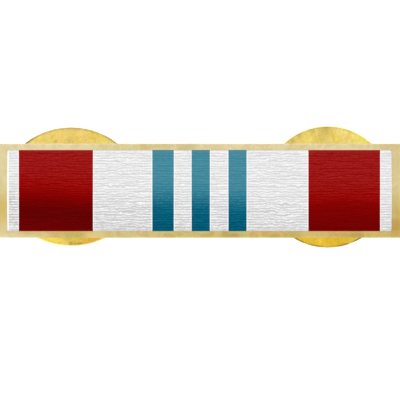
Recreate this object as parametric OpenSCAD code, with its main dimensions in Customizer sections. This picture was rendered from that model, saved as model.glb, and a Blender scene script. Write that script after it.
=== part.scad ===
// Medal lapel pin: a striped ribbon in a gilt bar, with two posts and two butterfly clutches.
// It lies face up on the tips of the clutches' wings. X runs along the bar, Y up the bar's face,
// and Z out of the face. The origin is on the surface that the pin rests on, midway between the posts.

/* [Bar] */
// Length of the bar, from end to end
bar_length = 36.7; // [36:0.1:42]
// Height of the bar's face
bar_height = 8.6; // [7:0.1:9.4]
// Thickness of the bar, from its back to the top of its rim
bar_thickness = 2.0; // [1.9:0.05:3]
// Thickness of the plate behind the ribbon
plate_thickness = 0.8; // [0.5:0.05:0.8]
// Width of the rim above and below the ribbon
rim_side = 0.6; // [0.4:0.05:1]
// Width of the rim at the ribbon's ends
rim_end = 0.8; // [0.4:0.05:1]
// Chamfer along the rim's outer edges
rim_chamfer = 0.14; // [0.05:0.01:0.18]
// Width of the low slope along the rim's inner edges
rim_slope = 0.12; // [0.05:0.01:0.18]

/* [Ribbon] */
// Thickness of the ribbon along its two long edges
ribbon_thickness = 1.1; // [0.8:0.01:1.1]
// How much thicker the ribbon is along its middle
ribbon_crown = 0.06; // [0.04:0.01:0.15]
// Gap between the ribbon and the bar, on every side
ribbon_gap = 0.03; // [0.01:0.01:0.08]

/* [Posts] */
// Distance between the two posts
post_spacing = 23.5; // [20:0.1:24]
// How far the posts stand above the middle line of the bar's face
post_rise = 0.37; // [0:0.01:1]
// Diameter of a post
post_diameter = 1.1; // [1:0.05:1.1]
// Length of a post, from the back of the bar to its point
post_length = 7.6; // [7:0.05:7.9]

/* [Clutches] */
// Room for cloth between the back of the bar and the discs
cloth_room = 2.05; // [2.05:0.05:3]
// Thickness of a disc's sheet
disc_sheet = 0.3; // [0.2:0.05:0.3]
// Width of the left disc, along the bar
left_disc_width = 12.4; // [10.8:0.1:12.8]
// Height of the left disc, across the bar
left_disc_height = 10.9; // [10.8:0.1:12.8]
// Width of the right disc, along the bar
right_disc_width = 11.6; // [10.8:0.1:12.8]
// Height of the right disc, across the bar
right_disc_height = 11.2; // [10.8:0.1:12.8]
// Thickness of the spring strip
strip_thickness = 0.4; // [0.3:0.05:0.4]
// Width of the spring strip and its wings
wing_width = 5.2; // [4:0.1:6]

/* [Hidden] */
$fn = 96;
eps = 0.01;

gilt = [0.87, 0.79, 0.56];
brass = [0.90, 0.76, 0.36];
white = [0.90, 0.90, 0.91];
red = [0.57, 0.02, 0.04];
blue = [0.20, 0.50, 0.58];

// The ribbon's stripes from left to right: width, colour
STRIPES = [[1.08, white], [6.77, red], [5.41, white], [1.96, blue], [1.62, white], [1.67, blue],
           [1.69, white], [1.66, blue], [5.63, white], [6.55, red], [1.06, white]];

// The clutches: which post, disc width, disc height
LEFT = [-post_spacing / 2, left_disc_width, left_disc_height];
RIGHT = [post_spacing / 2, right_disc_width, right_disc_height];

// Half of the spring strip, from its middle under the disc out to a wing's tip. Each row is a
// straight length, then the radius and the angle of the bend after it. The first bend folds the
// strip back towards the post, the second is the jaw, and the third flattens the wing's tip.
STRIP_MOVES = [[1.9, 0.6, 145], [1.72, 0.5, -110], [2.4, 3, -25], [1.3, 0, 0]];

post_r = post_diameter / 2;
running_clearance = 0.05;
hole_r = post_r + running_clearance;
small_gap = 0.03;
bend_step = 15;

// The hub of a disc: a stamped boss with a funnel, and an eyelet that holds the strip
hub_r = 2.35;
hub_thickness = 0.52;
hub_edge = 0.12;
funnel_r = 0.95;
funnel_depth = 0.35;
eyelet_r = 1.05;
eyelet_lip_r = 1.45;
eyelet_lip = 0.22;
eyelet_edge = 0.1;
strip_hole_r = eyelet_r + running_clearance;

// A disc's dome and its turned-back edge. Its sheet runs a little way into the hub
sheet_root = 0.2;
dome_drop = 0.3;
edge_bend_r = 0.34;
skirt_depth = 1.0;
disc_sides = 60;

// Where the strip's middle line goes, as [point, heading], starting at the middle of its base
function bend_points(p, h, r, turn) =
    let (side = sign(turn), c = p + side * r * [-sin(h), cos(h)],
         n = max(1, ceil(abs(turn) / bend_step)))
    [for (i = [1 : n]) let (a = h + turn * i / n) [c + side * r * [sin(a), -cos(a)], a]];
function strip_path(i = 0, p = [0, 0], h = 0) =
    i == len(STRIP_MOVES) ? [] :
    let (move = STRIP_MOVES[i],
         q = p + move[0] * [cos(h), sin(h)],
         bend = move[2] == 0 ? [] : bend_points(q, h, move[1], move[2]),
         end = len(bend) > 0 ? bend[len(bend) - 1] : [q, h])
    concat([[q, h]], bend, strip_path(i + 1, end[0], end[1]));
STRIP = concat([[[0, 0], 0]], strip_path());
function strip_side(offset) = [for (s = STRIP) s[0] + offset * [-sin(s[1]), cos(s[1])]];

// Heights, from the surface that the wings' tips rest on
strip_depth = max([for (p = strip_side(strip_thickness / 2)) p[1]]);
strip_z = strip_depth;
hub_back_z = strip_z + strip_thickness / 2 + small_gap;
disc_z = hub_back_z + hub_thickness;
eyelet_z = strip_z - strip_thickness / 2 - small_gap - eyelet_lip;
bar_back_z = disc_z + cloth_room;
plate_z = bar_back_z + plate_thickness;
bar_top_z = bar_back_z + bar_thickness;
post_tip_z = bar_back_z - post_length;

// The jaw's middle line is nearest the post here, and the post's groove is round it
jaw_z = strip_z - min([for (s = STRIP) if (abs(s[1] - 90) < bend_step && s[0][1] > 1) s[0][1]]);
groove_depth = 0.17;
groove_slope = 0.1;
groove_above_jaw = 0.55;
groove_below_jaw = 0.85;
groove_r = post_r - groove_depth;
groove_top_z = jaw_z + groove_above_jaw;
groove_bottom_z = jaw_z - groove_below_jaw;
point_length = 0.45;
point_r = 0.12;
solder_r = 0.9;
solder_h = 0.3;

window_length = bar_length - 2 * rim_end;
window_height = bar_height - 2 * rim_side;
rim_slope_depth = 0.4 * rim_slope;
ribbon_length = window_length - 2 * ribbon_gap;
ribbon_height = window_height - 2 * ribbon_gap;
ribbon_z = plate_z + ribbon_gap;

// Outline across the bar: a rectangle with its two top corners cut off
module chamfered_outline(width, low, high, cut) {
    polygon([[-width / 2, low], [width / 2, low], [width / 2, high - cut], [width / 2 - cut, high],
             [cut - width / 2, high], [-width / 2, high - cut]]);
}

// Outline of the window: a rectangle that widens over the rim's inner slope
module sloped_outline(width) {
    slope_low_z = bar_top_z - rim_slope_depth;
    polygon([[-width / 2, plate_z], [width / 2, plate_z], [width / 2, slope_low_z],
             [width / 2 + rim_slope, bar_top_z], [width / 2 + rim_slope, bar_top_z + 1],
             [-width / 2 - rim_slope, bar_top_z + 1], [-width / 2 - rim_slope, bar_top_z],
             [-width / 2, slope_low_z]]);
}

// A block whose outline along X and outline along Y are the two children
module along_x(length) {
    rotate([90, 0, 90]) linear_extrude(length, center = true) children();
}
module along_y(length) {
    rotate([90, 0, 0]) linear_extrude(length, center = true) children();
}

module bar() {
    difference() {
        intersection() {
            along_x(bar_length) chamfered_outline(bar_height, bar_back_z, bar_top_z, rim_chamfer);
            along_y(bar_height) chamfered_outline(bar_length, bar_back_z, bar_top_z, rim_chamfer);
        }
        intersection() {
            along_x(bar_length) sloped_outline(window_height);
            along_y(bar_height) sloped_outline(window_length);
        }
    }
}

// A post with its solder fillet, the groove for the jaws and its point
module post() {
    top_z = bar_back_z + plate_thickness / 2;
    rotate_extrude()
        polygon([[0, top_z], [solder_r, top_z], [solder_r, bar_back_z], [post_r, bar_back_z - solder_h],
                 [post_r, groove_top_z + groove_slope], [groove_r, groove_top_z],
                 [groove_r, groove_bottom_z], [post_r, groove_bottom_z],
                 [post_r, post_tip_z + point_length], [point_r, post_tip_z], [0, post_tip_z]]);
}

module frame() {
    color(gilt) union() {
        translate([0, -post_rise, 0]) bar();
        for (clutch = [LEFT, RIGHT]) translate([clutch[0], 0, 0]) post();
    }
}

// The ribbon's block: flat underneath, with a low arched top
module ribbon_block() {
    arch_r = (pow(ribbon_height / 2, 2) + pow(ribbon_crown, 2)) / (2 * ribbon_crown);
    top_z = ribbon_z + ribbon_thickness + ribbon_crown;
    intersection() {
        translate([-ribbon_length / 2, -ribbon_height / 2, ribbon_z])
            cube([ribbon_length, ribbon_height, ribbon_thickness + ribbon_crown]);
        translate([0, 0, top_z - arch_r]) rotate([0, 90, 0])
            cylinder(r = arch_r, h = ribbon_length + 2, center = true, $fn = 720);
    }
}

// Where stripe i begins, as a share of the ribbon's length
function stripe_start(i) = i == 0 ? 0 : stripe_start(i - 1) + STRIPES[i - 1][0];
stripes_width = stripe_start(len(STRIPES));

module ribbon() {
    translate([0, -post_rise, 0])
        for (i = [0 : len(STRIPES) - 1])
            color(STRIPES[i][1]) intersection() {
                ribbon_block();
                translate([(stripe_start(i) / stripes_width - 0.5) * ribbon_length - eps,
                           -ribbon_height, ribbon_z - 1])
                    cube([STRIPES[i][0] / stripes_width * ribbon_length + 2 * eps,
                          2 * ribbon_height, ribbon_thickness + 2]);
            }
}

// The hub turns round the post, and its bore is the disc's running fit on it
module disc_hub() {
    rotate_extrude()
        polygon([[funnel_r, disc_z], [hub_r - hub_edge, disc_z], [hub_r, disc_z - hub_edge],
                 [hub_r, hub_back_z], [eyelet_r, hub_back_z], [eyelet_r, eyelet_z + eyelet_lip],
                 [eyelet_lip_r, eyelet_z + eyelet_lip], [eyelet_lip_r, eyelet_z + eyelet_edge],
                 [eyelet_lip_r - eyelet_edge, eyelet_z], [hole_r, eyelet_z],
                 [hole_r, disc_z - funnel_depth]]);
}

// Section of the dished sheet, from the hub out over the dome, round the edge and back underneath.
// Columns: share of the way from the hub to the edge, distance inside the edge, height
function sheet_section() =
    let (top = disc_z - hub_edge, edge_top = top - dome_drop, t = disc_sheet,
         bend_z = edge_top - edge_bend_r, inner_r = edge_bend_r - t, skirt_z = top - skirt_depth)
    concat(
        [[0, 0, top], [0.5, 0, top - dome_drop / 4]],
        [for (a = [0 : 22.5 : 90])
            [1, edge_bend_r * (1 - sin(a)), bend_z + edge_bend_r * cos(a)]],
        [for (a = [0 : 45 : 180])
            [1, t / 2 * (1 - cos(a)), skirt_z - t / 2 * sin(a)]],
        [for (a = [90 : -45 : 0])
            [1, edge_bend_r - inner_r * sin(a), bend_z + inner_r * cos(a)]],
        [[0.5, 0, top - dome_drop / 4 - t], [0, 0, top - t]]);

// The dished sheet is a ring: its inner edge is a circle inside the hub, its outer edge an oval
module dished_sheet(width, height) {
    section = sheet_section();
    rows = len(section);
    inner_r = hub_r - sheet_root;
    function ring_point(s, a) =
        let (x = width / 2 - s[1], y = height / 2 - s[1], share = s[0])
        [((1 - share) * inner_r + share * x) * cos(a), ((1 - share) * inner_r + share * y) * sin(a), s[2]];
    points = [for (k = [0 : disc_sides - 1]) for (s = section) ring_point(s, 360 * k / disc_sides)];
    faces = [for (k = [0 : disc_sides - 1]) for (j = [0 : rows - 1])
        let (k2 = (k + 1) % disc_sides, j2 = (j + 1) % rows)
        [k * rows + j, k2 * rows + j, k2 * rows + j2, k * rows + j2]];
    polyhedron(points, faces);
}

module clutch_disc(clutch) {
    color(brass) translate([clutch[0], 0, 0]) union() {
        disc_hub();
        dished_sheet(clutch[1], clutch[2]);
    }
}

// The whole strip seen from its edge, from one wing's tip to the other's
module strip_outline() {
    outer = strip_side(strip_thickness / 2);
    inner = strip_side(-strip_thickness / 2);
    n = len(outer);
    half = concat([for (i = [1 : n - 1]) outer[i]], [for (i = [n - 1 : -1 : 1]) inner[i]]);
    mirrored = [for (i = [len(half) - 1 : -1 : 0]) [-half[i][0], half[i][1]]];
    polygon(concat(half, mirrored));
}

// The strip seen from behind: straight sides and round wing ends
module wing_outline() {
    reach = max([for (p = strip_side(strip_thickness / 2)) p[0]]);
    end_r = wing_width / 2;
    for (side = [-1, 1]) translate([0, side * (reach - end_r)]) circle(r = end_r);
    square([wing_width, 2 * (reach - end_r)], center = true);
}

module clutch_wings(clutch) {
    color(brass) translate([clutch[0], 0, 0]) difference() {
        intersection() {
            along_x(wing_width + 1) mirror([0, 1]) translate([0, -strip_z]) strip_outline();
            translate([0, 0, -1]) linear_extrude(disc_z + 1) wing_outline();
        }
        translate([0, 0, -1]) cylinder(r = hole_r, h = disc_z + 2);
        translate([0, 0, strip_z - strip_thickness]) cylinder(r = strip_hole_r, h = 2 * strip_thickness);
    }
}

frame();
ribbon();
clutch_disc(LEFT);  // clutch_disc_left
clutch_disc(RIGHT);  // clutch_disc_right
clutch_wings(LEFT);  // clutch_wings_left
clutch_wings(RIGHT);  // clutch_wings_right
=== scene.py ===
"""A medal lapel pin lying face up on its two butterfly clutches: the woven ribbon, the gilt and the brass.

Everything is in metres in the frame's own axes: X along the bar, Y up its face, Z out of its face.
A shade is red, green and blue from 0 to 255. Strengths, tones and shares run from 0 to 1.
"""

import bpy
import numpy as np
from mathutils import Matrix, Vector


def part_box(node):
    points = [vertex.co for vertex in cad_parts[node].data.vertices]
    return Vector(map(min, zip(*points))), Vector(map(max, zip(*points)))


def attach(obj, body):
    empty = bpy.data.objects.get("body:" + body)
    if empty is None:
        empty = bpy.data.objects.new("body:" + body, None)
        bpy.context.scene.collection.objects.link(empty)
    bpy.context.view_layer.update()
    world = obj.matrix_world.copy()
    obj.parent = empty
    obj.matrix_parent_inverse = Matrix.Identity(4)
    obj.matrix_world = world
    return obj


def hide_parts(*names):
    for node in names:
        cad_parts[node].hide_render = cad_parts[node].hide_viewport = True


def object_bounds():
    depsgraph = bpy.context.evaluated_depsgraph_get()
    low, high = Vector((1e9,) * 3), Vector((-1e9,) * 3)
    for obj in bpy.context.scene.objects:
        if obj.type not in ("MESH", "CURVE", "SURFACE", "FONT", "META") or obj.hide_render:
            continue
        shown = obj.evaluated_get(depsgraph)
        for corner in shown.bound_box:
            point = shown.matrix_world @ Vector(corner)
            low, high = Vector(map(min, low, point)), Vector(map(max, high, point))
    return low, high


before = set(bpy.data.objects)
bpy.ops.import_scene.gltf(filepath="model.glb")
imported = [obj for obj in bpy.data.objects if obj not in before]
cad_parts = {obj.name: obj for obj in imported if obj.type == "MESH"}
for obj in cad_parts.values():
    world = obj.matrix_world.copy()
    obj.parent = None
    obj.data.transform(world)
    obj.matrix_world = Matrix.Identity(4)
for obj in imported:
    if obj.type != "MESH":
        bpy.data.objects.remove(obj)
cad_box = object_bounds()

MM = 0.001

# The photograph's frame: how wide a field it shows, which cuts the bar's ends, and where on the bar its
# middle lies
FIELD_WIDTH = 36.476 * MM
FIELD_MIDDLE = (0.059 * MM, -1.226 * MM)
CAMERA_DISTANCE = 1.0
SENSOR = 36
NEAREST, FARTHEST = 0.05, 20

# The studio: half of the floor's width, how far below the resting surface it lies, its clouds and the sky.
# Columns: place in the noise or share of the way up, level of light
FLOOR_HALF = 6.0
FLOOR_GAP = 0.002 * MM
FLOOR_LEVELS = [(0.3, 0.93), (0.7, 0.96)]
SKY_LEVELS = [(0.0, 0.55), (0.3, 0.72), (0.6, 0.9), (0.8, 1.0)]
# How the share of the way up changes towards +Y, where the sky is dimmer
SKY_LEAN = -0.12
# The key light
KEY_PLACE = (-0.12, 0.4, 0.34)
KEY_SIZE = 0.7
KEY_POWER = 1.8

# The ribbon's stripes from left to right: width in millimetres, yarn
STRIPES = [(1.08, "white"), (6.77, "red"), (5.41, "white"), (1.96, "blue"), (1.62, "white"), (1.67, "blue"),
           (1.69, "white"), (1.66, "blue"), (5.63, "white"), (6.55, "red"), (1.06, "white")]

# How a yarn looks along the ribbon's height, with painted shading: a painted sheen that lightens it towards
# the upper edge, deeper painted shade towards the lower edge and painted shade between two ribs.
# Columns: share of the height from the lower edge, shade on top of a rib, shade between two ribs
YARNS = {
    "white": [(0.0, (248, 248, 248), (192, 192, 192)), (0.3, (248, 248, 248), (199, 199, 199)),
              (0.55, (247, 247, 247), (212, 212, 212)), (1.0, (246, 246, 246), (214, 214, 214))],
    "red": [(0.0, (112, 2, 3), (103, 0, 0)), (0.16, (103, 2, 3), (93, 0, 0)), (0.24, (106, 1, 2), (95, 0, 0)),
            (0.33, (120, 1, 1), (107, 0, 0)), (0.43, (140, 2, 3), (129, 0, 0)),
            (0.53, (155, 18, 16), (142, 0, 0)), (0.63, (159, 29, 27), (143, 3, 2)),
            (0.74, (160, 33, 32), (146, 9, 9)), (1.0, (160, 35, 34), (146, 11, 11))],
    "blue": [(0.0, (6, 98, 125), (0, 81, 107)), (0.12, (7, 100, 128), (0, 81, 107)),
             (0.22, (13, 104, 131), (0, 84, 111)), (0.33, (28, 113, 138), (3, 92, 117)),
             (0.43, (53, 127, 150), (28, 108, 131)), (0.53, (70, 138, 159), (48, 123, 144)),
             (0.65, (76, 142, 161), (61, 130, 150)), (1.0, (77, 142, 161), (64, 131, 151))],
}
# The thread at the border of a white stripe, and the selvedge at the ribbon's left end
BORDER_SHADE = (252, 253, 252)
BORDER_STRENGTH = 0.8
SELVEDGE_SHADE = (255, 253, 243)
# How bright a white card shows where the ribbon lies, which the ribbon's shades are divided by
LIGHT_LEVEL = 1.05

# How the painted shading of the yarns moves up and down along the ribbon, as shares of its height: a slow
# drift, and leans.
# Columns: from and to in millimetres along X, share added at each
SHADE_DRIFT = 0.1
SHADE_LEANS = [(-17, -9, -0.05, 0.0), (-4, 10, 0.0, 0.1)]
# Towards the right the deepest painted shade fades: between which places along X, up to which share of the
# height, how much of the height's own slope is left there, and how soft the bend is
FADE_FROM, FADE_TO = 1 * MM, 10 * MM
FADE_HEIGHT = 0.3
FADE_SLOPE = 0.25
FADE_BEND = 0.08

# How much of the painted shade between the ribs a point takes: at a groove's bottom, for its height, and for
# the threads' fuzz
DEPTH_AT_BOTTOM = 0.75
DEPTH_BY_HEIGHT = -1.5
DEPTH_BY_FUZZ = 1.2

# A strip of deeper painted shade between the ribs beside the selvedge: its shade, where along X it begins
# and is full, its middle as a share of the height, and how far from there it ends and is full
DEEPER_GROOVE_SHADE = (187, 187, 191)
DEEPER_GROOVE_FROM, DEEPER_GROOVE_TO = -16.4 * MM, -17 * MM
DEEPER_GROOVE_HEIGHT = 0.27
DEEPER_GROOVE_REACH, DEEPER_GROOVE_CORE = 0.26, 0.08

# The weave
RIB_PITCH = 0.232 * MM
RIB_DEPTH = 0.06 * MM
WARP_PITCH = 0.1 * MM
# Heights as shares of the ribs' depth: a rib's usual height, how much its thick and thin places alter it, and
# the most that a thread may reach, which keeps it below the rim's top
RIB_HEIGHT = 0.72
SLUB_HEIGHT = 0.28
HIGHEST = 1.12
# A rib's round top is raised to this power, which broadens it
RIB_POWER = 0.8
# How high a groove is filled, how much that varies and over what length
GROOVE_HEIGHT = 0.15
GROOVE_VARIES = 0.18
GROOVE_LENGTH = 1.1 * MM
GROOVE_SEED = 16
# How far a rib strays, in ribs: at a stripe's edge, how much further inside it, and how far inside that is
STRAY_AT_EDGE = 0.08
STRAY_INSIDE = 0.3
STRAY_WITHIN = 1.2 * MM
# How far the ribs of each yarn stray, as a share of the most, and how much its threads stand out along a rib
STRAY = {"white": 1.0, "red": 0.8, "blue": 0.9}
BEADS = {"white": 0.06, "red": 0.25, "blue": 0.45}
BEAD_SEED = 15
# The waves in the ribs' paths. Columns: strength, millimetres along X and along the cloth, seed
RIB_WAVES = [(1.0, 1.3, 0.4, 11), (0.8, 0.3, 0.24, 12)]
# The thick and thin places along a rib. Columns: strength, millimetres along X, seed
SLUBS = [(0.5, 1.2, 13), (0.5, 0.22, 14)]
# How far apart two neighbouring ribs lie in the noise, so that they differ, and how many times that for beads
RIB_STEP = 7.3
BEAD_STEP = 3
# How many random values the noise's table has each way
NOISE_TABLE = 97

# The cloth
CLOTH_THICKNESS = 0.35 * MM
FOLD_RADIUS = 0.05 * MM
TURN_UNDER = 1.4 * MM
END_RADIUS = 0.03 * MM
# How much higher the cloth is along its middle than along its edges
CROWN = 0.06 * MM
# How much further than its solid the soft cloth swells towards the rim
SWELL = 0.028 * MM
# The smooth threads at the stripes' borders and the selvedge: how wide and how high they are, and how many
# times its width from a border its shade ends
BORDER_WIDTH = 0.08 * MM
SELVEDGE_WIDTH = 0.165 * MM
SMOOTH_HEIGHT = 0.9
BORDER_REACH = 1.2
# How high the last rib is at the upper and at the lower rim, and over how much of a rib the weave meets it
# A lower last rib takes more painted shade between the ribs: a painted shadow where the cloth goes under the
# rim, deepest at the lower rim
RIM_HEIGHTS = (0.65, 0.4)
RIM_BLEND = 0.6

# The cloth's mesh: how far apart its columns are, how many rows of points a rib takes, the angles of a
# fold's points, and how many points there are in a section before those of its top
COLUMN_STEP = 0.098 * MM
ROWS_PER_RIB = 6
FOLD_ANGLES = np.radians([22.5, 45, 67.5, 90])
FOLD_POINTS = 10

# The gilt's blotches. Columns: place in the noise, pale shade, deep shade
GILT_SHADES = [(0.34, (215, 209, 146), (189, 181, 88)), (0.46, (231, 218, 173), (209, 189, 119)),
               (0.55, (221, 204, 152), (197, 169, 88)), (0.66, (241, 218, 184), (223, 187, 119))]
# How much the blotches settle at the bar's ends and sides, at which place in the noise, and how much above
# that at the right end
SETTLING = 0.75
SETTLED = 0.49
SETTLED_RIGHT = 0.05

# How deep the gilt's tone is along the bar, with painted shade that makes the lower rim deeper.
# Columns: share of the bar's length from its left end, tone along the upper rim, tone along the lower rim
GILT_TONES = [(0.0, 0.0, 0.15), (0.06, 0.0, 0.35), (0.13, 0.0, 0.6), (0.2, 0.05, 0.9), (0.3, 0.2, 0.65),
              (0.36, 0.45, 0.7), (0.42, 0.25, 0.9), (0.55, 0.05, 0.9), (0.7, 0.1, 1.0), (0.9, 0.15, 1.0),
              (1.0, 0.4, 1.0)]
# The same up the bar's two ends, where painted shade deepens the right end's lower part.
# Columns: share of the bar's height, tone at the left end, tone at the right end
END_TONES = [(0.0, 0.0, 1.0), (0.14, 0.2, 1.0), (0.2, 0.5, 0.95), (0.3, 0.85, 0.85), (0.4, 0.8, 0.55),
             (0.5, 0.45, 0.37), (0.62, 0.15, 0.24), (1.0, 0.05, 0.38)]
# How far below the rim's top the look of the bar's side begins and is full
SIDE_FROM, SIDE_TO = 0.2 * MM, 0.5 * MM
# How far inside the ribbon's end the look of the bar's end begins, and how far outside it that is full
END_FROM, END_TO = 0.3 * MM, 0.1 * MM

# Darker and paler spots on the rim.
# Columns: where, millimetres from the bar's middle, half of the spread, strength, shade
RIM_SPOTS = [("upper", -1.2, 1.0, 0.5, (194, 178, 122)), ("upper", 8.9, 1.2, 0.3, (214, 188, 124)),
              ("lower", -12.6, 1.0, 0.45, (186, 174, 84)), ("lower", -11.2, 1.3, 0.5, (184, 172, 84)),
              ("lower", -9.4, 1.5, 0.55, (232, 210, 142)), ("lower", 2.9, 1.2, 0.5, (180, 150, 70)),
              ("lower", 6.7, 1.0, 0.4, (184, 166, 92)), ("lower", 8.6, 0.8, 0.3, (186, 160, 80)),
              ("lower", 10.2, 1.1, 0.6, (222, 196, 126)), ("lower", 14.35, 0.9, 0.6, (178, 148, 68))]
# Orange stains on the bar's two ends.
# Columns: where, share of the bar's height, half of the spread, strength, shade
END_STAINS = [("left", 0.27, 0.26, 0.3, (222, 184, 76)), ("right", 0.13, 0.11, 0.6, (190, 146, 74))]
# Within which part of its spread a stain or spot is full, and how far before the ribbon's edge the rim's
# spots begin
STAIN_CORE = 0.3
SPOT_BLEND = 0.2 * MM

# Painted reflections of the stripes on the rim beside them. Columns: where, yarn, strength, shade
STRIPE_REFLECTIONS = [("lower", "blue", 0.5, (196, 200, 150)), ("upper", "red", 0.4, (248, 206, 168)),
         ("upper", "blue", 0.3, (214, 214, 184))]
# How far a painted reflection reaches from the ribbon and how near to it it is full, and how it blurs at
# a stripe's edges
REFLECTION_REACH, REFLECTION_CORE = 0.34 * MM, 0.1 * MM
REFLECTION_BLUR = 0.2 * MM
# The orange along the lower rim: its shade, how strong it is beside the red stripes as their painted
# reflection and in clouds, and where in their noise the clouds begin and are full
WARM_SHADE = (236, 168, 112)
WARM_BY_RED = 0.45
WARM_IN_CLOUDS = 0.2
CLOUDS_FROM, CLOUDS_TO = 0.4, 0.62
GILT_ROUGHNESS = (0.26, 0.36)

# The brass's mottling. Columns: place in the noise, shade
BRASS_SHADES = [(0.28, (234, 202, 88)), (0.4, (242, 214, 106)), (0.5, (248, 218, 130)),
                (0.58, (242, 219, 99)), (0.72, (251, 231, 136))]
# What the shades are multiplied by, from the least to the most: small changes of hue, speckle and streaks
HUES = [(0.3, (0.99, 0.92, 0.88, 1)), (0.7, (0.93, 1.02, 1.04, 1))]
SPECKLE = (0.93, 1.09)
STREAKS = (0.92, 1.07)
BRASS_ROUGHNESS = (0.26, 0.38)
# The streaks' noise is read round a circle of this radius, and moves this far for each metre outwards
STREAK_CIRCLE = 6 * MM
STREAK_OUTWARDS = 0.15

# Painted light on the brass of each disc: pale patches are painted highlights, darker and deeper ones
# painted shade, as on a shiny, dished face.
# Columns: x and y in millimetres from the disc's middle, radius, strength, shade
PAINTED_LIGHT_PATCHES = {
    "left": [(0.0, 4.0, 2.2, 0.45, (236, 192, 114)), (-2.0, -4.9, 1.8, 0.8, (254, 226, 92)),
             (1.8, -4.7, 2.2, 0.8, (226, 176, 44)), (-0.2, -4.7, 1.0, 0.6, (222, 184, 68)),
             (0.0, -5.35, 0.42, 0.8, (140, 116, 30)), (0.4, -5.4, 0.42, 0.8, (140, 116, 30)),
             (0.8, -5.35, 0.42, 0.8, (146, 120, 36)),
             (-0.45, -4.6, 0.35, 0.5, (200, 152, 50)), (-1.4, 4.15, 0.25, 0.5, (190, 150, 60)),
             (-0.2, 4.15, 0.25, 0.5, (196, 152, 70))],
    "right": [(-0.3, 5.3, 1.1, 0.45, (180, 152, 74)), (-0.6, 4.3, 0.8, 0.35, (190, 162, 84)),
              (1.8, 4.5, 0.9, 0.45, (246, 206, 128)), (3.0, 4.5, 1.3, 0.7, (255, 240, 124)),
              (1.4, 5.0, 0.8, 0.6, (255, 232, 130)), (-2.1, 4.3, 1.0, 0.5, (252, 226, 126)),
              (-3.2, 4.2, 0.5, 0.5, (206, 176, 88)), (-1.5, 5.15, 0.6, 0.5, (194, 164, 86)),
              (-2.6, 4.8, 0.6, 0.5, (194, 166, 90)), (-3.5, 4.1, 0.6, 0.4, (196, 170, 96)),
              (-2.2, -4.7, 2.4, 0.95, (240, 192, 30)),
              (1.0, -5.0, 3.2, 0.9, (230, 186, 34)), (-0.8, -4.8, 1.2, 0.7, (242, 195, 36))],
}
# Where a patch's rough edge ends and where it is full, in radii
PATCH_REACH, PATCH_CORE = 1.5, 0.6
# How far the disc's face has dropped where the patches are, and how closely they keep to that height, which
# spares the wings
DOME_DROP = 0.35 * MM
STEEP = 1.5

# Painted light along the edge of each disc: dark marks are painted shade and dark reflections on its rolled
# edge, pale ones paint it lighter. Columns: degrees from +X, half of the spread, strength, shade
PAINTED_EDGE_LIGHT = {
    "left": [(98, 80, 0.55, (150, 132, 92)), (90, 26, 0.25, (150, 132, 92)), (141, 24, 0.8, (104, 88, 62)),
             (46, 18, 0.5, (112, 92, 60)), (284, 34, 0.3, (200, 192, 150))],
    "right": [(90, 80, 0.6, (250, 240, 192)), (122, 30, 0.35, (240, 236, 216)),
              (270, 36, 0.55, (140, 118, 48)), (242, 8, 0.85, (110, 88, 32)), (259, 8, 0.6, (112, 90, 36)),
              (284, 7, 0.7, (104, 84, 36)), (301.5, 8.5, 0.92, (96, 80, 30))],
}
# Within which part of its spread a mark on the edge is full, and where, as a share of the disc's half size,
# the edge begins and is full
EDGE_CORE = 0.4
EDGE_FROM, EDGE_TO = 0.968, 0.985
# Down the disc's wall the painted marks fade: how far below its top they are still full and are faded, and
# what is left of them there
WALL_FULL, WALL_FADED = 0.6 * MM, 1.0 * MM
WALL_LEFT = 0.15

# The CAD's pieces: how wide their edges are rounded, in how many steps and from which angle on, and how close
# points are joined
FRAME_ROUNDING = 0.03 * MM
DISC_ROUNDING = 0.03 * MM
WINGS_ROUNDING = 0.05 * MM
ROUNDING_STEPS = 2
SHARP_DEGREES = 32
WELD_DISTANCE = 0.0005 * MM

# Between which values most of a noise node's output lies
NOISE_LOW, NOISE_HIGH = 0.3, 0.7


# Colours

def linear(shade):
    """A shade as linear light, by the sRGB formula."""
    c = np.array(shade, float) / 255
    return tuple(np.where(c <= 0.04045, c / 12.92, ((c + 0.055) / 1.055) ** 2.4))


def rgba(shade, level=1.0):
    """A shade as a node's colour, divided by the level of the light that falls on it."""
    return (*(v / level for v in linear(shade)), 1.0)


def colour_stops(table, column, level=1.0):
    """A ramp's stops from a table's first column, the places, and one of its columns of shades."""
    return [(row[0], rgba(row[column], level)) for row in table]


def grey_stops(table, column):
    """A ramp's stops from a table's first column, the places, and one of its columns of levels."""
    return [(row[0], (row[column], row[column], row[column], 1)) for row in table]


# Node trees

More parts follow.
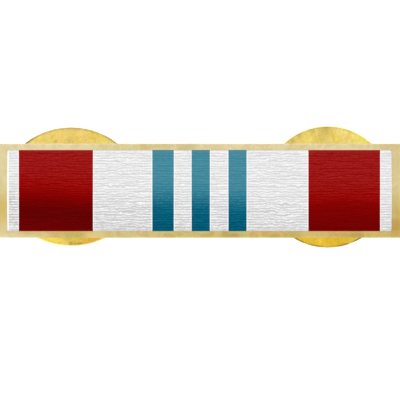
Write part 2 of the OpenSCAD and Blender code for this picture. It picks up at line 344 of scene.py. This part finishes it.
class Nodes:
    """A node tree with one short call for each kind of node, which gives back the new node's main output."""

    def __init__(self, tree):
        self.tree = tree
        tree.nodes.clear()

    def add(self, kind, inputs=None, output=0, **settings):
        made = self.tree.nodes.new(kind)
        for name, value in settings.items():
            setattr(made, name, value)
        for name, value in (inputs or {}).items():
            if isinstance(value, bpy.types.NodeSocket):
                self.tree.links.new(value, made.inputs[name])
            else:
                made.inputs[name].default_value = value
        return made.outputs[output]

    def math(self, operation, *values, clamp=False):
        return self.add("ShaderNodeMath", dict(enumerate(values)), operation=operation, use_clamp=clamp)

    def plus(self, a, b):
        return self.math("ADD", a, b)

    def times(self, a, b):
        return self.math("MULTIPLY", a, b)

    def distance(self, value, place):
        """How far a number is from a place."""
        return self.math("ABSOLUTE", self.math("SUBTRACT", value, place))

    def vector(self, operation, *values):
        """A vector operation that gives a number."""
        return self.add("ShaderNodeVectorMath", dict(enumerate(values)), output="Value", operation=operation)

    def span(self, value, low, high, to_low=0.0, to_high=1.0, smooth=True):
        """A number that goes from to_low to to_high while value goes from low to high."""
        kind = "SMOOTHSTEP" if smooth else "LINEAR"
        return self.add("ShaderNodeMapRange", {"Value": value, "From Min": low, "From Max": high,
                                               "To Min": to_low, "To Max": to_high}, interpolation_type=kind)

    def spread(self, noise, least, most, smooth=True):
        """A node's noise, spread from the least to the most."""
        return self.span(noise, NOISE_LOW, NOISE_HIGH, least, most, smooth)

    def mix(self, share, a, b, blend="MIX"):
        return self.add("ShaderNodeMix", {0: share, 6: a, 7: b}, output=2, data_type="RGBA", blend_type=blend)

    def multiply(self, colour, by):
        return self.mix(1.0, colour, by, "MULTIPLY")

    def noise(self, position, size, detail=2.0, roughness=0.5, distortion=0.0):
        return self.add("ShaderNodeTexNoise", {"Vector": position, "Scale": 1 / size, "Detail": detail,
                                               "Roughness": roughness, "Distortion": distortion})

    def ramp(self, value, stops):
        out = self.add("ShaderNodeValToRGB", {0: value})
        ramp = out.node.color_ramp
        while len(ramp.elements) < len(stops):
            ramp.elements.new(0.5)
        for element, (place, colour) in zip(ramp.elements, stops):
            element.position = place
            element.color = colour
        return out

    def attribute(self, name):
        return self.add("ShaderNodeAttribute", output="Fac", attribute_name=name)

    def position(self, stretch=(1, 1, 1), shift=(0, 0, 0)):
        where = self.add("ShaderNodeTexCoord", output="Object")
        return self.add("ShaderNodeMapping", {"Vector": where, "Scale": stretch, "Location": shift})

    def axes(self, position):
        parts = self.add("ShaderNodeSeparateXYZ", {0: position}).node
        return parts.outputs[0], parts.outputs[1], parts.outputs[2]

    def bump(self, height, distance, strength, normal=None):
        inputs = {"Height": height, "Distance": distance, "Strength": strength}
        if normal is not None:
            inputs["Normal"] = normal
        return self.add("ShaderNodeBump", inputs)

    def end(self, kind, surface):
        """Adds the tree's output node and links the surface to it."""
        output = self.tree.nodes.new(kind)
        self.tree.links.new(surface, output.inputs["Surface"])


def material(name, paint):
    """A material whose Principled shader takes what paint(nodes) gives as {socket: value or output}."""
    made = bpy.data.materials.new(name)
    made.use_nodes = True
    nodes = Nodes(made.node_tree)
    nodes.end("ShaderNodeOutputMaterial", nodes.add("ShaderNodeBsdfPrincipled", paint(nodes)))
    return made


# The ribbon

def smooth_noise(x, y, seed):
    """Noise from -1 to 1 that turns smoothly between the points of a unit grid."""
    table = np.random.default_rng(seed).uniform(-1, 1, (NOISE_TABLE, NOISE_TABLE))
    x0, y0 = np.floor(x).astype(int), np.floor(y).astype(int)
    u, v = x - x0, y - y0
    u, v = u * u * (3 - 2 * u), v * v * (3 - 2 * v)

    def corner(dx, dy):
        return table[(x0 + dx) % NOISE_TABLE, (y0 + dy) % NOISE_TABLE]

    return ((corner(0, 0) * (1 - u) + corner(1, 0) * u) * (1 - v)
            + (corner(0, 1) * (1 - u) + corner(1, 1) * u) * v)


def stripe_edges(left, right):
    """Where the stripes begin and end along X, from the ribbon's left end to its right end."""
    ends = np.cumsum([0] + [width for width, _ in STRIPES])
    return left + (right - left) * ends / ends[-1]


def ribbon_columns(edges):
    """Places along X, evenly spaced in each stripe, with one on every stripe's edge."""
    places = [edges[:1]]
    for start, end in zip(edges, edges[1:]):
        steps = max(2, round((end - start) / COLUMN_STEP))
        places.append(np.linspace(start, end, steps + 1)[1:])
    return np.concatenate(places)


def ribbon_section(low, high):
    """The folded cloth's outside, seen from its end, from the upper turned-under edge to the lower one.

    Gives its points (y, z), their normals, and how far along the cloth each one lies.
    """
    middle, half = (low.y + high.y) / 2, (high.y - low.y) / 2
    edge_top = high.z - CROWN
    r = FOLD_RADIUS
    points = [(half - TURN_UNDER, low.z), (half - r, low.z)]
    points += [(half - r + r * np.sin(a), low.z + r - r * np.cos(a)) for a in FOLD_ANGLES]
    points += [(half, edge_top - r)]
    points += [(half - r + r * np.cos(a), edge_top - r + r * np.sin(a)) for a in FOLD_ANGLES[:-1]]
    rows = round((half - r) / RIB_PITCH * ROWS_PER_RIB)
    across = np.linspace(half - r, 0, rows + 1)
    points += [(y, edge_top + CROWN * (1 - (y / (half - r)) ** 2)) for y in across]
    side = np.array(points)
    other = side[-2::-1] * [-1, 1]
    line = np.concatenate([side, other])
    along = np.gradient(line, axis=0)
    along /= np.linalg.norm(along, axis=1)[:, None]
    normals = np.stack([-along[:, 1], along[:, 0]], axis=1) * -1
    lengths = np.concatenate([[0], np.cumsum(np.linalg.norm(np.diff(line, axis=0), axis=1))])
    line[:, 0] += middle
    return line, normals, lengths


def weave(x, along, edges):
    """The ribs at each point of the cloth.

    Gives the number of ribs passed, the height from 0 between two ribs to about 1 on top of one, and how far
    away the nearest edge of a stripe is.
    """
    gap = np.min(np.abs(x[..., None] - edges), axis=-1)
    stripe = np.clip(np.searchsorted(edges, x) - 1, 0, len(STRIPES) - 1)
    stray = np.array([STRAY[yarn] for _, yarn in STRIPES])[stripe]
    inner = np.clip(gap / STRAY_WITHIN, 0, 1)
    wander = (STRAY_AT_EDGE + STRAY_INSIDE * inner) * stray
    shift = sum(strength * smooth_noise(x / (length * MM), along / (width * MM), seed)
                for strength, length, width, seed in RIB_WAVES)
    passed = along / RIB_PITCH + wander * shift
    rib = np.floor(passed) * RIB_STEP
    slub = sum(strength * smooth_noise(x / (length * MM), rib, seed) for strength, length, seed in SLUBS)
    bead_height = np.array([BEADS[yarn] for _, yarn in STRIPES])[stripe]
    bead = bead_height * smooth_noise(x / WARP_PITCH, BEAD_STEP * rib, BEAD_SEED)
    groove = np.floor(passed + 0.5)
    here, beyond = (smooth_noise(x / GROOVE_LENGTH, number, GROOVE_SEED) for number in (groove, groove + 1))
    filled = GROOVE_HEIGHT + GROOVE_VARIES * (here - beyond)
    full = (0.5 - 0.5 * np.cos(2 * np.pi * passed)) ** RIB_POWER
    height = full * (RIB_HEIGHT + SLUB_HEIGHT * slub + bead) + (1 - full) * filled
    return passed, np.minimum(height, HIGHEST), gap


def woven_side(x, section, edges, left, right):
    """The points of the cloth's outside, and what its material has to know about each of them."""
    line, normals, along = section
    grid_x, grid_along = np.meshgrid(x, along, indexing="ij")
    passed, height, gap = weave(grid_x, grid_along, edges)
    top_from, cut_length = along[FOLD_POINTS - 1], along[-1]
    smooth = (gap < BORDER_WIDTH) | (grid_x - left < SELVEDGE_WIDTH)
    height = np.where(smooth, SMOOTH_HEIGHT, height)
    from_rim = np.minimum(grid_along - top_from, cut_length - top_from - grid_along) / RIB_PITCH
    by_rim = np.clip((1.0 - from_rim) / RIM_BLEND, 0, 1)
    # Lower last ribs take more painted shade, a painted shadow along the rims
    rim_height = np.where(grid_along < cut_length / 2, *RIM_HEIGHTS)
    height = height + (rim_height - height) * by_rim
    height = np.where(from_rim < 0, 1.0, height)
    sink = RIB_DEPTH * (1 - height)
    into = np.clip(1 - np.minimum(grid_x - left, right - grid_x) / END_RADIUS, 0, 1)
    sink += END_RADIUS * (1 - np.sqrt(1 - into ** 2))
    points = np.stack([grid_x, line[None, :, 0] - sink * normals[None, :, 0],
                       line[None, :, 1] - sink * normals[None, :, 1]], axis=-1)
    near_border = np.clip(BORDER_REACH - gap / BORDER_WIDTH, 0, 1)
    return points, {"ribs_passed": passed, "rib_height": height, "near_border": near_border}


def plain_side(x, section):
    """The points of the cloth's inside, one thickness in, which go back along the section in larger steps."""
    line, normals, _ = section
    last_fold = len(line) - FOLD_POINTS
    rows = np.unique(np.concatenate([np.arange(0, FOLD_POINTS, 2),
                                     np.arange(FOLD_POINTS, last_fold, 2 * ROWS_PER_RIB),
                                     np.arange(last_fold, len(line), 2), [len(line) - 1]]))[::-1]
    back = line[rows] - CLOTH_THICKNESS * normals[rows]
    return np.stack([np.repeat(x[:, None], len(rows), axis=1),
                     np.repeat(back[None, :, 0], len(x), axis=0),
                     np.repeat(back[None, :, 1], len(x), axis=0)], axis=-1)


def tube(name, rings):
    """A mesh of rings of points, joined one to the next, with a face over each end."""
    columns, rows = rings.shape[:2]
    corner = np.arange(columns * rows).reshape(columns, rows)
    after = np.roll(corner, -1, axis=1)
    quads = np.stack([corner[:-1], after[:-1], after[1:], corner[1:]], axis=-1).reshape(-1, 4)
    faces = quads.tolist() + [corner[0, ::-1].tolist(), corner[-1].tolist()]
    mesh = bpy.data.meshes.new(name)
    mesh.from_pydata(rings.reshape(-1, 3).tolist(), [], faces)
    mesh.shade_smooth()
    return mesh


def make_ribbon():
    """The ribbon: one folded cloth with its ribs as real shape, a little wider than its solid."""
    low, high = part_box("ribbon")
    low, high = low - Vector((SWELL, SWELL, 0)), high + Vector((SWELL, SWELL, 0))
    edges = stripe_edges(low.x, high.x)
    x = ribbon_columns(edges)
    section = ribbon_section(low, high)
    outside, values = woven_side(x, section, edges, low.x, high.x)
    inside = plain_side(x, section)
    mesh = tube("ribbon_weave", np.concatenate([outside, inside], axis=1))
    for name, on_outside in values.items():
        data = np.concatenate([on_outside, np.zeros(inside.shape[:2])], axis=1).astype(np.float32)
        mesh.attributes.new(name, "FLOAT", "POINT").data.foreach_set("value", data.ravel())
    mesh.materials.append(cloth(edges, low, high))
    piece = bpy.data.objects.new("ribbon_weave", mesh)
    bpy.context.scene.collection.objects.link(piece)
    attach(piece, "badge")
    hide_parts("ribbon")


def cloth(edges, low, high):
    """The ribbon's yarns: each stripe's dye with painted shading, a painted sheen towards the upper edge,
    deeper painted shade towards the lower edge and painted shade between the ribs.
    """
    def shading_height(nodes, x, y, position):
        """The share of the ribbon's height that a point takes its shades and their painted shading from."""
        height = nodes.span(y, low.y, high.y, smooth=False)
        drift = nodes.noise(position, size=5 * MM, detail=1)
        height = nodes.plus(height, nodes.math("MULTIPLY_ADD", drift, SHADE_DRIFT, -SHADE_DRIFT / 2))
        for start, end, at_start, at_end in SHADE_LEANS:
            height = nodes.plus(height, nodes.span(x, start * MM, end * MM, at_start, at_end))
        faded = nodes.span(x, FADE_FROM, FADE_TO, 0.0, FADE_HEIGHT)
        faded = nodes.math("MULTIPLY_ADD", height, FADE_SLOPE, faded)
        return nodes.math("SMOOTH_MAX", height, faded, FADE_BEND)

    def paint(nodes):
        position = nodes.position()
        x, y, _ = nodes.axes(position)
        height = shading_height(nodes, x, y, position)
        # Each yarn's colour on top of a rib, with its painted sheen, and in the painted shade between two
        # ribs
        crest, groove = ({yarn: nodes.ramp(height, colour_stops(stops, column, LIGHT_LEVEL))
                          for yarn, stops in YARNS.items()} for column in (1, 2))
        white_border = nodes.mix(BORDER_STRENGTH, crest["white"], rgba(BORDER_SHADE, LIGHT_LEVEL))
        # At a red or blue stripe's border the colour is the painted shade between the ribs
        border = {**groove, "white": white_border}
        looks = [crest, groove, border]
        colours = [look[STRIPES[0][1]] for look in looks]
        for edge, (_, yarn) in zip(edges[1:-1], STRIPES[1:]):
            past = nodes.math("GREATER_THAN", x, float(edge))
            colours = [nodes.mix(past, colour, look[yarn]) for colour, look in zip(colours, looks)]
        on_crest, shaded_groove, at_border = colours
        # Deeper painted shade between the ribs beside the selvedge
        along_deeper_shade = nodes.span(x, DEEPER_GROOVE_FROM, DEEPER_GROOVE_TO)
        up_deeper_shade = nodes.span(nodes.distance(height, DEEPER_GROOVE_HEIGHT), DEEPER_GROOVE_REACH, DEEPER_GROOVE_CORE)
        deeper_shade = nodes.times(along_deeper_shade, up_deeper_shade)
        shaded_groove = nodes.mix(deeper_shade, shaded_groove, rgba(DEEPER_GROOVE_SHADE, LIGHT_LEVEL))
        fuzz = nodes.noise(nodes.position(stretch=(0.7, 1, 1)), size=0.12 * MM, detail=1)
        # The share of the painted shade between the ribs that each point takes
        depth = nodes.math("MULTIPLY_ADD", nodes.attribute("rib_height"), DEPTH_BY_HEIGHT, DEPTH_AT_BOTTOM)
        depth = nodes.math("MULTIPLY_ADD", fuzz, DEPTH_BY_FUZZ, depth, clamp=True)
        colour = nodes.mix(depth, on_crest, shaded_groove)
        colour = nodes.mix(nodes.attribute("near_border"), colour, at_border)
        selvedge = nodes.math("LESS_THAN", x, low.x + SELVEDGE_WIDTH)
        colour = nodes.mix(selvedge, colour, rgba(SELVEDGE_SHADE, LIGHT_LEVEL))
        odd_rib = nodes.math("MODULO", nodes.math("FLOOR", nodes.attribute("ribs_passed")), 2.0)
        turns = nodes.math("MULTIPLY_ADD", x, 1 / WARP_PITCH, nodes.times(odd_rib, 0.5))
        warp = nodes.math("SINE", nodes.times(turns, 2 * np.pi))
        return {"Base Color": colour, "Roughness": 0.75, "Specular IOR Level": 0.01, "Sheen Weight": 0.03,
                "Sheen Roughness": 0.4, "Normal": nodes.bump(warp, distance=0.012 * MM, strength=0.5)}
    return material("ribbon_silk", paint)


# The metals

def gilt():
    """Pale gilt on the bar and its posts: satin and blotched, deeper to the right, with painted shade below,
    spots on the rim, stains on its ends and painted reflections of the ribbon's stripes beside them."""
    low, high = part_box("frame")
    ribbon_low, ribbon_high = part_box("ribbon")
    edges = [float(edge) for edge in stripe_edges(ribbon_low.x, ribbon_high.x)]

    def with_reflections(nodes, colour, x, y):
        """The colour with painted reflections of the stripes on the rim beside them."""
        beside = {"red": 0.0, "blue": 0.0}
        for start, end, (_, yarn) in zip(edges, edges[1:], STRIPES):
            if yarn in beside:
                begun = nodes.span(x, start - REFLECTION_BLUR, start + REFLECTION_BLUR)
                not_over = nodes.span(x, end + REFLECTION_BLUR, end - REFLECTION_BLUR)
                beside[yarn] = nodes.plus(beside[yarn], nodes.times(begun, not_over))
        strip = {
            "lower": nodes.times(nodes.span(y, ribbon_low.y - REFLECTION_REACH, ribbon_low.y - REFLECTION_CORE),
                                 nodes.span(y, ribbon_low.y + REFLECTION_CORE, ribbon_low.y)),
            "upper": nodes.times(nodes.span(y, ribbon_high.y + REFLECTION_REACH, ribbon_high.y + REFLECTION_CORE),
                                 nodes.span(y, ribbon_high.y - REFLECTION_CORE, ribbon_high.y)),
        }
        cloud = nodes.noise(nodes.position(stretch=(0.5, 1, 1), shift=(3 * MM, 0, 0)),
                            size=3.5 * MM, detail=2)
        # Orange along the lower rim: a painted reflection beside the red stripes, and orange clouds
        warmth = nodes.span(cloud, CLOUDS_FROM, CLOUDS_TO, 0.0, WARM_IN_CLOUDS)
        warmth = nodes.math("MULTIPLY_ADD", beside["red"], WARM_BY_RED, warmth)
        colour = nodes.mix(nodes.times(strip["lower"], warmth), colour, rgba(WARM_SHADE))
        for where, yarn, strength, shade in STRIPE_REFLECTIONS:
            near = nodes.times(nodes.times(strip[where], beside[yarn]), strength)
            colour = nodes.mix(near, colour, rgba(shade))
        return colour

    def paint(nodes):
        position = nodes.position()
        x, y, z = nodes.axes(position)
        along_bar = nodes.span(x, low.x, high.x, smooth=False)
        up_bar = nodes.span(y, low.y, high.y, smooth=False)
        at_side = nodes.span(z, high.z - SIDE_FROM, high.z - SIDE_TO)
        on_face = nodes.math("SUBTRACT", 1.0, at_side)
        on = {"left": nodes.span(x, ribbon_low.x + END_FROM, ribbon_low.x - END_TO),
              "right": nodes.span(x, ribbon_high.x - END_FROM, ribbon_high.x + END_TO),
              "upper": nodes.span(y, ribbon_high.y - SPOT_BLEND, ribbon_high.y),
              "lower": nodes.span(y, ribbon_low.y + SPOT_BLEND, ribbon_low.y)}
        on = {where: nodes.times(here, on_face) for where, here in on.items()}

        blotch = nodes.noise(position, size=1.7 * MM, detail=4, roughness=0.6, distortion=0.6)
        calm = nodes.math("MAXIMUM", nodes.plus(on["left"], on["right"]), at_side)
        settled = nodes.math("MULTIPLY_ADD", on["right"], SETTLED_RIGHT, SETTLED)
        blotch = nodes.math("MULTIPLY_ADD", nodes.math("SUBTRACT", settled, blotch),
                            nodes.times(calm, SETTLING), blotch)
        pale, deep = (nodes.ramp(blotch, colour_stops(GILT_SHADES, column)) for column in (1, 2))
        upper, lower = (nodes.ramp(along_bar, grey_stops(GILT_TONES, column)) for column in (1, 2))
        left, right = (nodes.ramp(up_bar, grey_stops(END_TONES, column)) for column in (1, 2))
        # From the upper rim's tone to the lower rim's deeper one, a painted shade
        tone = nodes.mix(nodes.span(y, ribbon_high.y, ribbon_low.y), upper, lower)
        tone = nodes.mix(on["right"], nodes.mix(on["left"], tone, left), right)
        colour = nodes.mix(tone, pale, deep)

        for stains, value, unit in [(END_STAINS, up_bar, 1), (RIM_SPOTS, x, MM)]:
            for where, middle, spread, strength, shade in stains:
                away = nodes.distance(value, middle * unit)
                near = nodes.span(away, spread * unit, STAIN_CORE * spread * unit, 0.0, strength)
                colour = nodes.mix(nodes.times(near, on[where]), colour, rgba(shade))
        colour = with_reflections(nodes, colour, x, y)

        grain = nodes.noise(nodes.position(stretch=(1, 12, 12)), size=0.9 * MM, detail=3, roughness=0.6)
        fine = nodes.noise(position, size=0.12 * MM, detail=2)
        normal = nodes.bump(grain, distance=0.004 * MM, strength=0.35)
        normal = nodes.bump(fine, distance=0.002 * MM, strength=0.3, normal=normal)
        roughness = nodes.spread(grain, *GILT_ROUGHNESS, smooth=False)
        return {"Base Color": colour, "Metallic": 1.0, "Roughness": roughness, "Normal": normal}
    return material("gilt", paint)


def brass(side):
    """Stamped brass of one clutch: mottled, with streaks that run out from its middle, patches of painted
    highlights and shade on the disc, and painted shade and lighter marks along the disc's edge."""
    low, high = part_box("clutch_disc_" + side)
    middle, half = (low + high) / 2, (high - low) / 2

    def streaks(nodes, x, y, position):
        """Noise that is drawn out from the disc's middle."""
        angle = nodes.math("ARCTAN2", y, x)
        outwards = nodes.math("MULTIPLY_ADD", nodes.vector("LENGTH", position), STREAK_OUTWARDS, middle.x)
        spin = nodes.add("ShaderNodeCombineXYZ", {0: nodes.times(nodes.math("COSINE", angle), STREAK_CIRCLE),
                                                  1: nodes.times(nodes.math("SINE", angle), STREAK_CIRCLE),
                                                  2: outwards})
        return nodes.noise(spin, size=0.3 * MM, detail=3, roughness=0.6)

    def patched(nodes, colour, mottle):
        """The colour with the patches of painted highlights and shade on the disc's face, whose edges follow
        the mottling.
        """
        steep = nodes.position(stretch=(1, 1, STEEP), shift=(-middle.x, 0, 0))
        face = high.z - DOME_DROP
        for px, py, radius, strength, shade in PAINTED_LIGHT_PATCHES[side]:
            away = nodes.vector("DISTANCE", steep, (px * MM, py * MM, face * STEEP))
            rough_edge = nodes.math("MULTIPLY_ADD", mottle, radius * MM, away)
            near = nodes.span(rough_edge, PATCH_REACH * radius * MM, PATCH_CORE * radius * MM)
            colour = nodes.mix(nodes.times(near, strength), colour, rgba(shade))
        return colour

    def marked(nodes, colour, z):
        """The colour with the painted shade and the lighter painted marks along the disc's edge, which fade
        down its wall.
        """
        oval = nodes.position(stretch=(1 / half.x, 1 / half.y, 0), shift=(-middle.x / half.x, 0, 0))
        out = nodes.vector("LENGTH", oval)
        up_wall = nodes.span(z, high.z - WALL_FADED, high.z - WALL_FULL, WALL_LEFT, 1.0)
        at_edge = nodes.times(nodes.span(out, EDGE_FROM, EDGE_TO), up_wall)
        for degrees, spread, strength, shade in PAINTED_EDGE_LIGHT[side]:
            direction = (np.cos(np.radians(degrees)), np.sin(np.radians(degrees)), 0)
            cosine = nodes.math("DIVIDE", nodes.vector("DOT_PRODUCT", oval, direction), out)
            near = nodes.span(cosine, np.cos(np.radians(spread)), np.cos(np.radians(EDGE_CORE * spread)))
            colour = nodes.mix(nodes.times(nodes.times(near, strength), at_edge), colour, rgba(shade))
        return colour

    def paint(nodes):
        position = nodes.position(shift=(-middle.x, 0, 0))
        x, y, z = nodes.axes(position)
        streak = streaks(nodes, x, y, position)
        mottle = nodes.noise(nodes.position(stretch=(0.6, 1, 1)),
                             size=0.9 * MM, detail=4, roughness=0.6, distortion=0.4)
        speckle = nodes.noise(position, size=0.22 * MM, detail=2)
        hue = nodes.noise(nodes.position(shift=(0, 5 * MM, 0)), size=0.4 * MM, detail=1)
        colour = nodes.ramp(mottle, colour_stops(BRASS_SHADES, 1))
        colour = patched(nodes, colour, mottle)
        colour = nodes.multiply(colour, nodes.ramp(hue, HUES))
        colour = nodes.multiply(colour, nodes.spread(speckle, *SPECKLE))
        colour = nodes.multiply(colour, nodes.spread(streak, *STREAKS, smooth=False))
        colour = marked(nodes, colour, z)
        normal = nodes.bump(streak, distance=0.004 * MM, strength=0.35)
        normal = nodes.bump(mottle, distance=0.012 * MM, strength=0.3, normal=normal)
        roughness = nodes.spread(mottle, *BRASS_ROUGHNESS, smooth=False)
        return {"Base Color": colour, "Metallic": 1.0, "Roughness": roughness, "Normal": normal}
    return material("brass_" + side, paint)


def finish_metal(node, metal, rounding):
    """Gives a CAD node its metal, smooth curves and softly rounded edges."""
    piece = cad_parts[node]
    piece.data.materials.clear()
    piece.data.materials.append(metal)
    piece.data.shade_smooth()
    custom = piece.data.attributes.get("custom_normal")
    if custom is not None:
        piece.data.attributes.remove(custom)
    weld = piece.modifiers.new("weld", "WELD")
    weld.merge_threshold = WELD_DISTANCE
    bevel = piece.modifiers.new("soft_edges", "BEVEL")
    bevel.width = rounding
    bevel.segments = ROUNDING_STEPS
    bevel.limit_method = "ANGLE"
    bevel.angle_limit = np.radians(SHARP_DEGREES)
    bevel.harden_normals = True


# Where the photograph is taken from and what lights it

def camera():
    data = bpy.data.cameras.new("camera")
    data.sensor_width, data.lens = SENSOR, SENSOR * CAMERA_DISTANCE / FIELD_WIDTH
    data.clip_start, data.clip_end = NEAREST, FARTHEST
    made = bpy.data.objects.new("camera", data)
    made.location = (*FIELD_MIDDLE, cad_box[1].z + CAMERA_DISTANCE)
    bpy.context.scene.collection.objects.link(made)
    bpy.context.scene.camera = made


def floor():
    """A pale matt floor that glows a little, so that it stays nearly white."""
    half = FLOOR_HALF
    mesh = bpy.data.meshes.new("floor")
    mesh.from_pydata([(-half, -half, 0), (half, -half, 0), (half, half, 0), (-half, half, 0)], [],
                     [(0, 1, 2, 3)])
    made = bpy.data.objects.new("floor", mesh)
    made.location.z = -FLOOR_GAP
    bpy.context.scene.collection.objects.link(made)

    def paint(nodes):
        cloud = nodes.noise(nodes.position(), size=0.05, detail=1)
        return {"Base Color": nodes.ramp(cloud, grey_stops(FLOOR_LEVELS, 1)), "Roughness": 0.9,
                "Specular IOR Level": 0.0, "Emission Color": (1, 1, 1, 1), "Emission Strength": 0.45}
    mesh.materials.append(material("floor", paint))


def key_light():
    """A soft square lamp that shines at the pin from above its upper edge, a little from the left."""
    data = bpy.data.lights.new("key", "AREA")
    data.size, data.energy = KEY_SIZE, KEY_POWER
    made = bpy.data.objects.new("key", data)
    made.location = KEY_PLACE
    made.rotation_euler = made.location.to_track_quat("Z", "Y").to_euler()
    made.visible_camera = made.visible_glossy = False
    bpy.context.scene.collection.objects.link(made)


def sky():
    """A white studio: even overhead, dimmer towards the horizon."""
    world = bpy.data.worlds.new("studio")
    world.use_nodes = True
    nodes = Nodes(world.node_tree)
    _, y, z = nodes.axes(nodes.add("ShaderNodeTexCoord", output="Generated"))
    level = nodes.math("MULTIPLY_ADD", y, SKY_LEAN, z, clamp=True)
    level = nodes.ramp(level, grey_stops(SKY_LEVELS, 1))
    nodes.end("ShaderNodeOutputWorld", nodes.add("ShaderNodeBackground", {"Color": level, "Strength": 1.0}))
    bpy.context.scene.world = world


camera()
floor()
sky()
key_light()
bpy.context.scene.view_settings.view_transform = "Standard"

make_ribbon()
finish_metal("frame", gilt(), FRAME_ROUNDING)
for side in ("left", "right"):
    metal = brass(side)
    finish_metal("clutch_disc_" + side, metal, DISC_ROUNDING)
    finish_metal("clutch_wings_" + side, metal, WINGS_ROUNDING)
